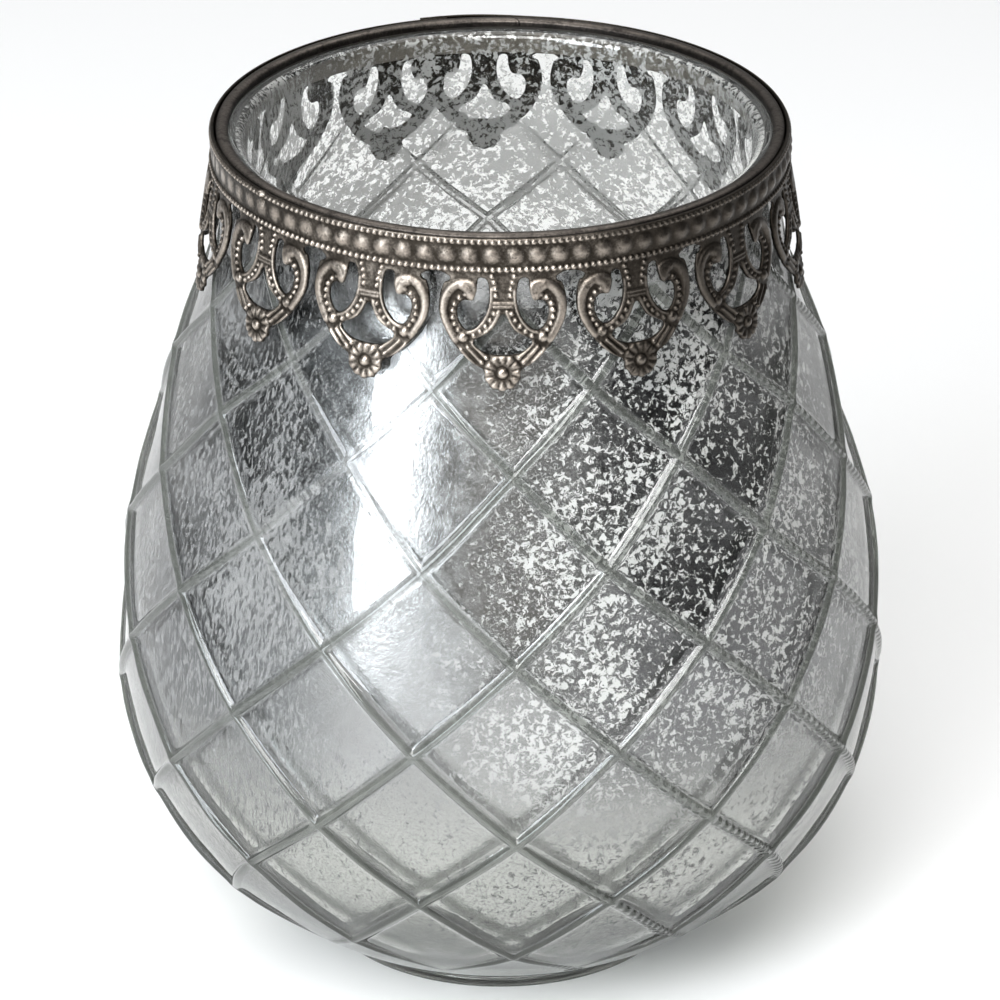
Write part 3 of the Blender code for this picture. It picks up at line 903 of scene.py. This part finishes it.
def standing_out(relief, reach=5):
    """How far each place stands out from what is round it. The grid repeats sideways."""
    padded = np.pad(relief[:, :-1], ((reach, reach), (0, 0)), mode="edge")
    around = np.zeros_like(relief[:, :-1])
    for down in range(2 * reach + 1):
        for across in range(-reach, reach + 1):
            around += np.roll(padded[down : down + len(relief)], across, 1)
    found = relief[:, :-1] - around / (2 * reach + 1) ** 2
    return np.concatenate([found, found[:, :1]], 1)


def rosette_relief(points):
    """Twelve petals round a collar and a boss."""
    rel = points - np.array((0, ROSETTE_CENTRE))
    out = np.linalg.norm(rel, axis=1)
    turn = np.arctan2(rel[:, 0], rel[:, 1])
    petal = np.abs(np.cos(6 * turn)) ** 0.5
    ring = np.clip(1 - ((out - 2.45) / 0.85) ** 2, 0, 1) ** 0.5
    collar = 0.25 * np.exp(-(((out - 1.45) / 0.3) ** 2))
    return np.maximum(0.42 * petal * ring + collar, bead(points, (0, ROSETTE_CENTRE), 1.05, 0.72))


def band_radius():
    return RIM_RADIUS - SHEET / 2


def unit_width():
    """The length of band that one pendant hangs from."""
    return math.radians(PENDANT_PITCH) * band_radius()


def pendant_turn(pendant):
    return FRONT_PENDANT_AT + (pendant - FRONT_PENDANT) * PENDANT_PITCH


def lap_lift(turn):
    ramp = np.clip((turn - LAP_RAMP[0]) / (LAP_RAMP[1] - LAP_RAMP[0]), 0, 1)
    return LAP_LIFT * ramp * ramp * (3 - 2 * ramp)


def wrapped(pendant, s, t, out):
    """Flat points of one unit laid on the band's cylinder and the pendants' cone, out from the sheet."""
    tip_radius, tip_height = PENDANT_TIP
    drop = BAND_BOTTOM - tip_height
    flare = tip_radius - band_radius()
    length = math.hypot(flare, drop)
    hang = np.clip(t, 0, None) / length
    sway = PENDANT_SWAY * noise.noise(Vector((pendant * 1.7, 0.3, 0)))
    stand = PENDANT_STAND * (1 + noise.noise(Vector((pendant * 1.3, 4.2, 0))))
    s = s + sway * hang**1.5
    radius = band_radius() + flare * hang
    height = BAND_BOTTOM - np.clip(t, None, 0) - drop * hang
    turn = pendant_turn(pendant) + np.degrees(s / radius)
    lean = np.clip(hang * 8, 0, 1) * flare / length
    radius = radius + lap_lift(turn) + out * np.sqrt(1 - lean**2) + stand * hang**2
    return on_turn(radius, turn, height + out * lean)


def grid_quads(row, column, width):
    """One quad for each named cell of a grid of vertices that has so many in a row."""
    here, below = row * width + column, (row + 1) * width + column
    return np.stack([here, below, below + 1, here + 1], -1)


def strip_unit():
    """One unit of the strip, flat: its grid of points, which of its cells are metal, and its outlines."""
    across = np.linspace(-unit_width() / 2, unit_width() / 2, STRIP_COLUMNS + 1)
    band = np.linspace(BAND_BOTTOM - BAND_TOP, 0, BAND_LINES)[:-1]
    pendant = np.linspace(0, ROSETTE_CENTRE + ROSETTE_RADIUS + 0.1, PENDANT_LINES)
    flat = np.stack(np.meshgrid(across, np.concatenate([band, pendant]), indexing="xy"), -1)
    outlines = unit_outlines()
    centres = (flat[:-1, :-1] + flat[1:, 1:]) / 2
    kept = (sheet_distance(centres.reshape(-1, 2), outlines) < 0).reshape(centres.shape[:2])
    padded = np.pad(kept, 1)
    padded[1:-1, 0], padded[1:-1, -1] = kept[:, 0], kept[:, -1]
    around = np.stack([padded[:-1, :-1], padded[1:, :-1], padded[:-1, 1:], padded[1:, 1:]])
    border = around.any(0) & ~around.all(0)
    flat[border] = onto_outline(flat[border], outlines)
    return flat, kept, outlines


def filigree_strip(material):
    """The whole strip as one closed sheet with its relief, lapped at the back."""
    flat, kept, outlines = strip_unit()
    places = flat.reshape(-1, 2)
    relief = unit_relief(places, sheet_distance(places, outlines)).reshape(flat.shape[:2])
    bosses = boss_relief(places).reshape(relief.shape)
    wear = standing_out(relief + bosses)
    face, back = [], []
    for pendant in range(PENDANTS):
        last = pendant == PENDANTS - 1
        used = slice(0, STRIP_COLUMNS + 1 if last else STRIP_COLUMNS)
        s, t = flat[:, used, 0], flat[:, used, 1]
        turn = pendant_turn(pendant) + np.degrees(s / band_radius())
        out = np.maximum(relief[:, used], bosses[:, used] * worn_smooth(turn)) + notch(turn, t)
        face.append(wrapped(pendant, s, t, SHEET / 2 + out))
        back.append(wrapped(pendant, s, t, -SHEET / 2 + 0.8 * out.clip(None, 0.6)))
    face, back = np.concatenate(face, 1), np.concatenate(back, 1)
    all_wear = np.concatenate([wear[:, :-1]] * PENDANTS + [wear[:, -1:]], 1)
    quads = grid_quads(*np.nonzero(np.tile(kept, (1, PENDANTS))), face.shape[1])
    shift = all_wear.size
    points = np.concatenate([face.reshape(-1, 3), back.reshape(-1, 3)])
    values = np.concatenate([0.45 + 1.5 * all_wear.ravel(), np.full(shift, 0.2)])
    faces = np.concatenate([quads, quads[:, ::-1] + shift, border_walls(quads, shift)])
    used, index = np.unique(faces, return_inverse=True)
    wear_there = [("wear", values[used])]
    return add_mesh("filigree_strip", points[used], [index.reshape(-1, 4)], material, wear_there)


def onto_outline(points, outlines):
    """Points moved onto the nearest edge of the sheet."""
    step = 0.01
    for _ in range(3):
        distance = sheet_distance(points, outlines)
        across = (sheet_distance(points + (step, 0), outlines) - distance) / step
        down = (sheet_distance(points + (0, step), outlines) - distance) / step
        slope = np.stack([across, down], -1)
        size = np.maximum((slope**2).sum(1, keepdims=True), 0.25)
        points = points - np.clip(distance, -0.2, 0.2)[:, None] * slope / size
    return points


def border_walls(quads, shift):
    """Quads that join the front and back skins along every edge that only one face uses."""
    ends = np.concatenate([quads[:, [k, (k + 1) % 4]] for k in range(4)])
    _, index, count = np.unique(np.sort(ends, 1), axis=0, return_inverse=True, return_counts=True)
    lone = ends[count[index.ravel()] == 1]
    return np.stack([lone[:, 1], lone[:, 0], lone[:, 0] + shift, lone[:, 1] + shift], -1)


# ---- Rim ring ----
def ring_section():
    """The channel's closed outline as (radius, height): first its crown, then its leg and underside."""
    middle = RING_RADIUS - RING_WIDTH / 2
    shoulder = TOP - RING_RISE
    turns = np.radians(np.linspace(0, 180, CROWN_STEPS))

    def crown(width, rise):
        return [(middle + width * math.cos(a), shoulder + rise * math.sin(a)) for a in turns]

    outside = crown(RING_WIDTH / 2, RING_RISE)
    underside = crown(RING_WIDTH / 2 - RING_SHEET, RING_RISE - RING_SHEET)
    leg = [(outside[-1][0], z) for z in (shoulder - 0.4, RING_LEG_BOTTOM)]
    leg += [(underside[-1][0], z) for z in (RING_LEG_BOTTOM, shoulder - 0.4)]
    return np.array(outside + leg + underside[::-1])


def dented(points):
    """The ring's points pushed in and down a little, unevenly, as hand work leaves them."""
    radial = points * (1, 1, 0)
    outwards = radial / np.linalg.norm(radial, axis=-1, keepdims=True)
    points = points + outwards * (0.07 * waves(points, 18, 3) - 0.05)[..., None] * MM
    points[..., 2] -= 0.06 * MM * (1 + waves(points, 11, 4))
    return points


def rim_channel(material):
    """The crowned ring over the glass lip, slightly dented by hand work, cut at its slanted join."""
    section = ring_section()
    columns, count = RING_COLUMNS, len(section)
    turn = RING_JOIN_AT + RING_JOIN_GAP / 2 + np.linspace(0, 1, columns) * (360 - RING_JOIN_GAP)
    slant = np.degrees((section[:, 0] - RING_RADIUS + RING_WIDTH / 2) / RING_RADIUS)
    points = on_turn(section[:, :1], turn[None, :] + slant[:, None], section[:, 1:])
    points = dented(points)
    row, column = np.meshgrid(np.arange(count), np.arange(columns - 1), indexing="ij")
    after = (row + 1) % count
    here, there = row * columns + column, after * columns + column
    quads = np.stack([here, there, there + 1, here + 1], -1).reshape(-1, 4)
    ends = np.arange(count) * columns
    wear = np.full(points.shape[:-1], 0.3)
    wear[:CROWN_STEPS] = 0.35 + 0.3 * np.sin(np.radians(np.linspace(0, 180, CROWN_STEPS)))[:, None]
    faces = [quads, ends[None, :], ends[None, ::-1] + columns - 1]
    obj = add_mesh("rim_channel", points, faces, material, [("wear", wear)])
    recalculate_normals(obj)
    obj.data.set_sharp_from_angle(angle=math.radians(40))
    return obj


# ---- Stage, light and camera ----
def add_floor(material):
    """The pale table top, a hair under the foot."""
    size = FLOOR_HALF_SIZE
    corners = np.array([(-size, -size, 0), (size, -size, 0), (size, size, 0), (-size, size, 0)])
    floor = add_mesh("floor", corners, [np.array([[0, 1, 2, 3]])], material)
    floor.location.z = -FLOOR_GAP


def softbox(name, place, target, width, height, power, colour):
    data = bpy.data.lights.new(name, "AREA")
    data.shape = "RECTANGLE"
    data.size, data.size_y = width, height
    data.energy = power
    data.color = colour
    light = bpy.data.objects.new(name, data)
    bpy.context.scene.collection.objects.link(light)
    light.location = place
    light.rotation_euler = (Vector(target) - Vector(place)).to_track_quat("-Z", "Y").to_euler()


def light_world():
    """A dim room with soft-edged grey shapes, each painted over the ones before it."""
    world = bpy.data.worlds.new("studio")
    world.use_nodes = True
    tree = world.node_tree
    bpy.context.scene.world = world
    place = tree.nodes.new("ShaderNodeTexCoord").outputs["Generated"]

    def towards(turn, tilt):
        """How directly a ray points this way, from -1 to 1."""
        dot = tree.nodes.new("ShaderNodeVectorMath")
        dot.operation = "DOT_PRODUCT"
        tree.links.new(place, dot.inputs[0])
        turn, tilt = math.radians(turn), math.radians(tilt)
        flat = math.cos(tilt)
        dot.inputs[1].default_value = (math.sin(turn) * flat, -math.cos(turn) * flat, math.sin(tilt))
        return dot.outputs["Value"]

    colour = None
    for turn, tilt, inner, outer, tint in WALLS:
        spread = tree.nodes.new("ShaderNodeMapRange")
        spread.interpolation_type = "SMOOTHSTEP"
        tree.links.new(towards(turn, tilt), spread.inputs["Value"])
        spread.inputs["From Min"].default_value = math.cos(math.radians(outer))
        spread.inputs["From Max"].default_value = math.cos(math.radians(inner))
        mix = tree.nodes.new("ShaderNodeMix")
        mix.data_type = "RGBA"
        tree.links.new(spread.outputs["Result"], mix.inputs["Factor"])
        if colour is None:
            mix.inputs["A"].default_value = ROOM
        else:
            tree.links.new(colour, mix.inputs["A"])
        mix.inputs["B"].default_value = tint
        colour = mix.outputs["Result"]
    tree.links.new(colour, tree.nodes["Background"].inputs["Color"])


def add_camera():
    data = bpy.data.cameras.new("camera")
    data.sensor_width = CAMERA_SENSOR
    data.lens = CAMERA_LENS
    camera = bpy.data.objects.new("camera", data)
    bpy.context.scene.collection.objects.link(camera)
    camera.location = Vector((0, -CAMERA_BACK, CAMERA_HEIGHT)) * MM
    camera.rotation_euler = (math.radians(90 - CAMERA_PITCH), 0, 0)
    bpy.context.scene.camera = camera


def build():
    """Every piece with its material, its body and its CAD node, and then the stage. Each row also names a
    colour slot, which nothing uses.
    """
    strip_metal = aged_metal("strip_patina", STRIP_DARK, STRIP_BRIGHT, rubbed=0.27, right_shade_amount=1.0)
    ring_metal = aged_metal("ring_patina", RING_DARK, RING_BRIGHT, rubbed=0.30, right_shade_amount=0.4)
    for make, material, node, slot in (
        (bowl_glass, clear_glass(), "glass_bowl", "clear_glass"),
        (silver_film, mottled_silver(), "silvering", "silvering"),
        (filigree_strip, strip_metal, "stamped_strip", "strip_metal"),
        (rim_channel, ring_metal, "rim_ring", "ring_metal"),
    ):
        piece = make(material)
        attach(piece, "root")
        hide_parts(node)
    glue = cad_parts["adhesive_bead"]
    glue.data.materials.clear()
    glue.data.materials.append(set_glue())
    glue.data.shade_smooth()
    add_floor(studio_floor())
    light_world()
    for box in SOFTBOXES:
        softbox(*box)
    add_camera()
    bpy.context.scene.view_settings.view_transform = "Standard"


build()
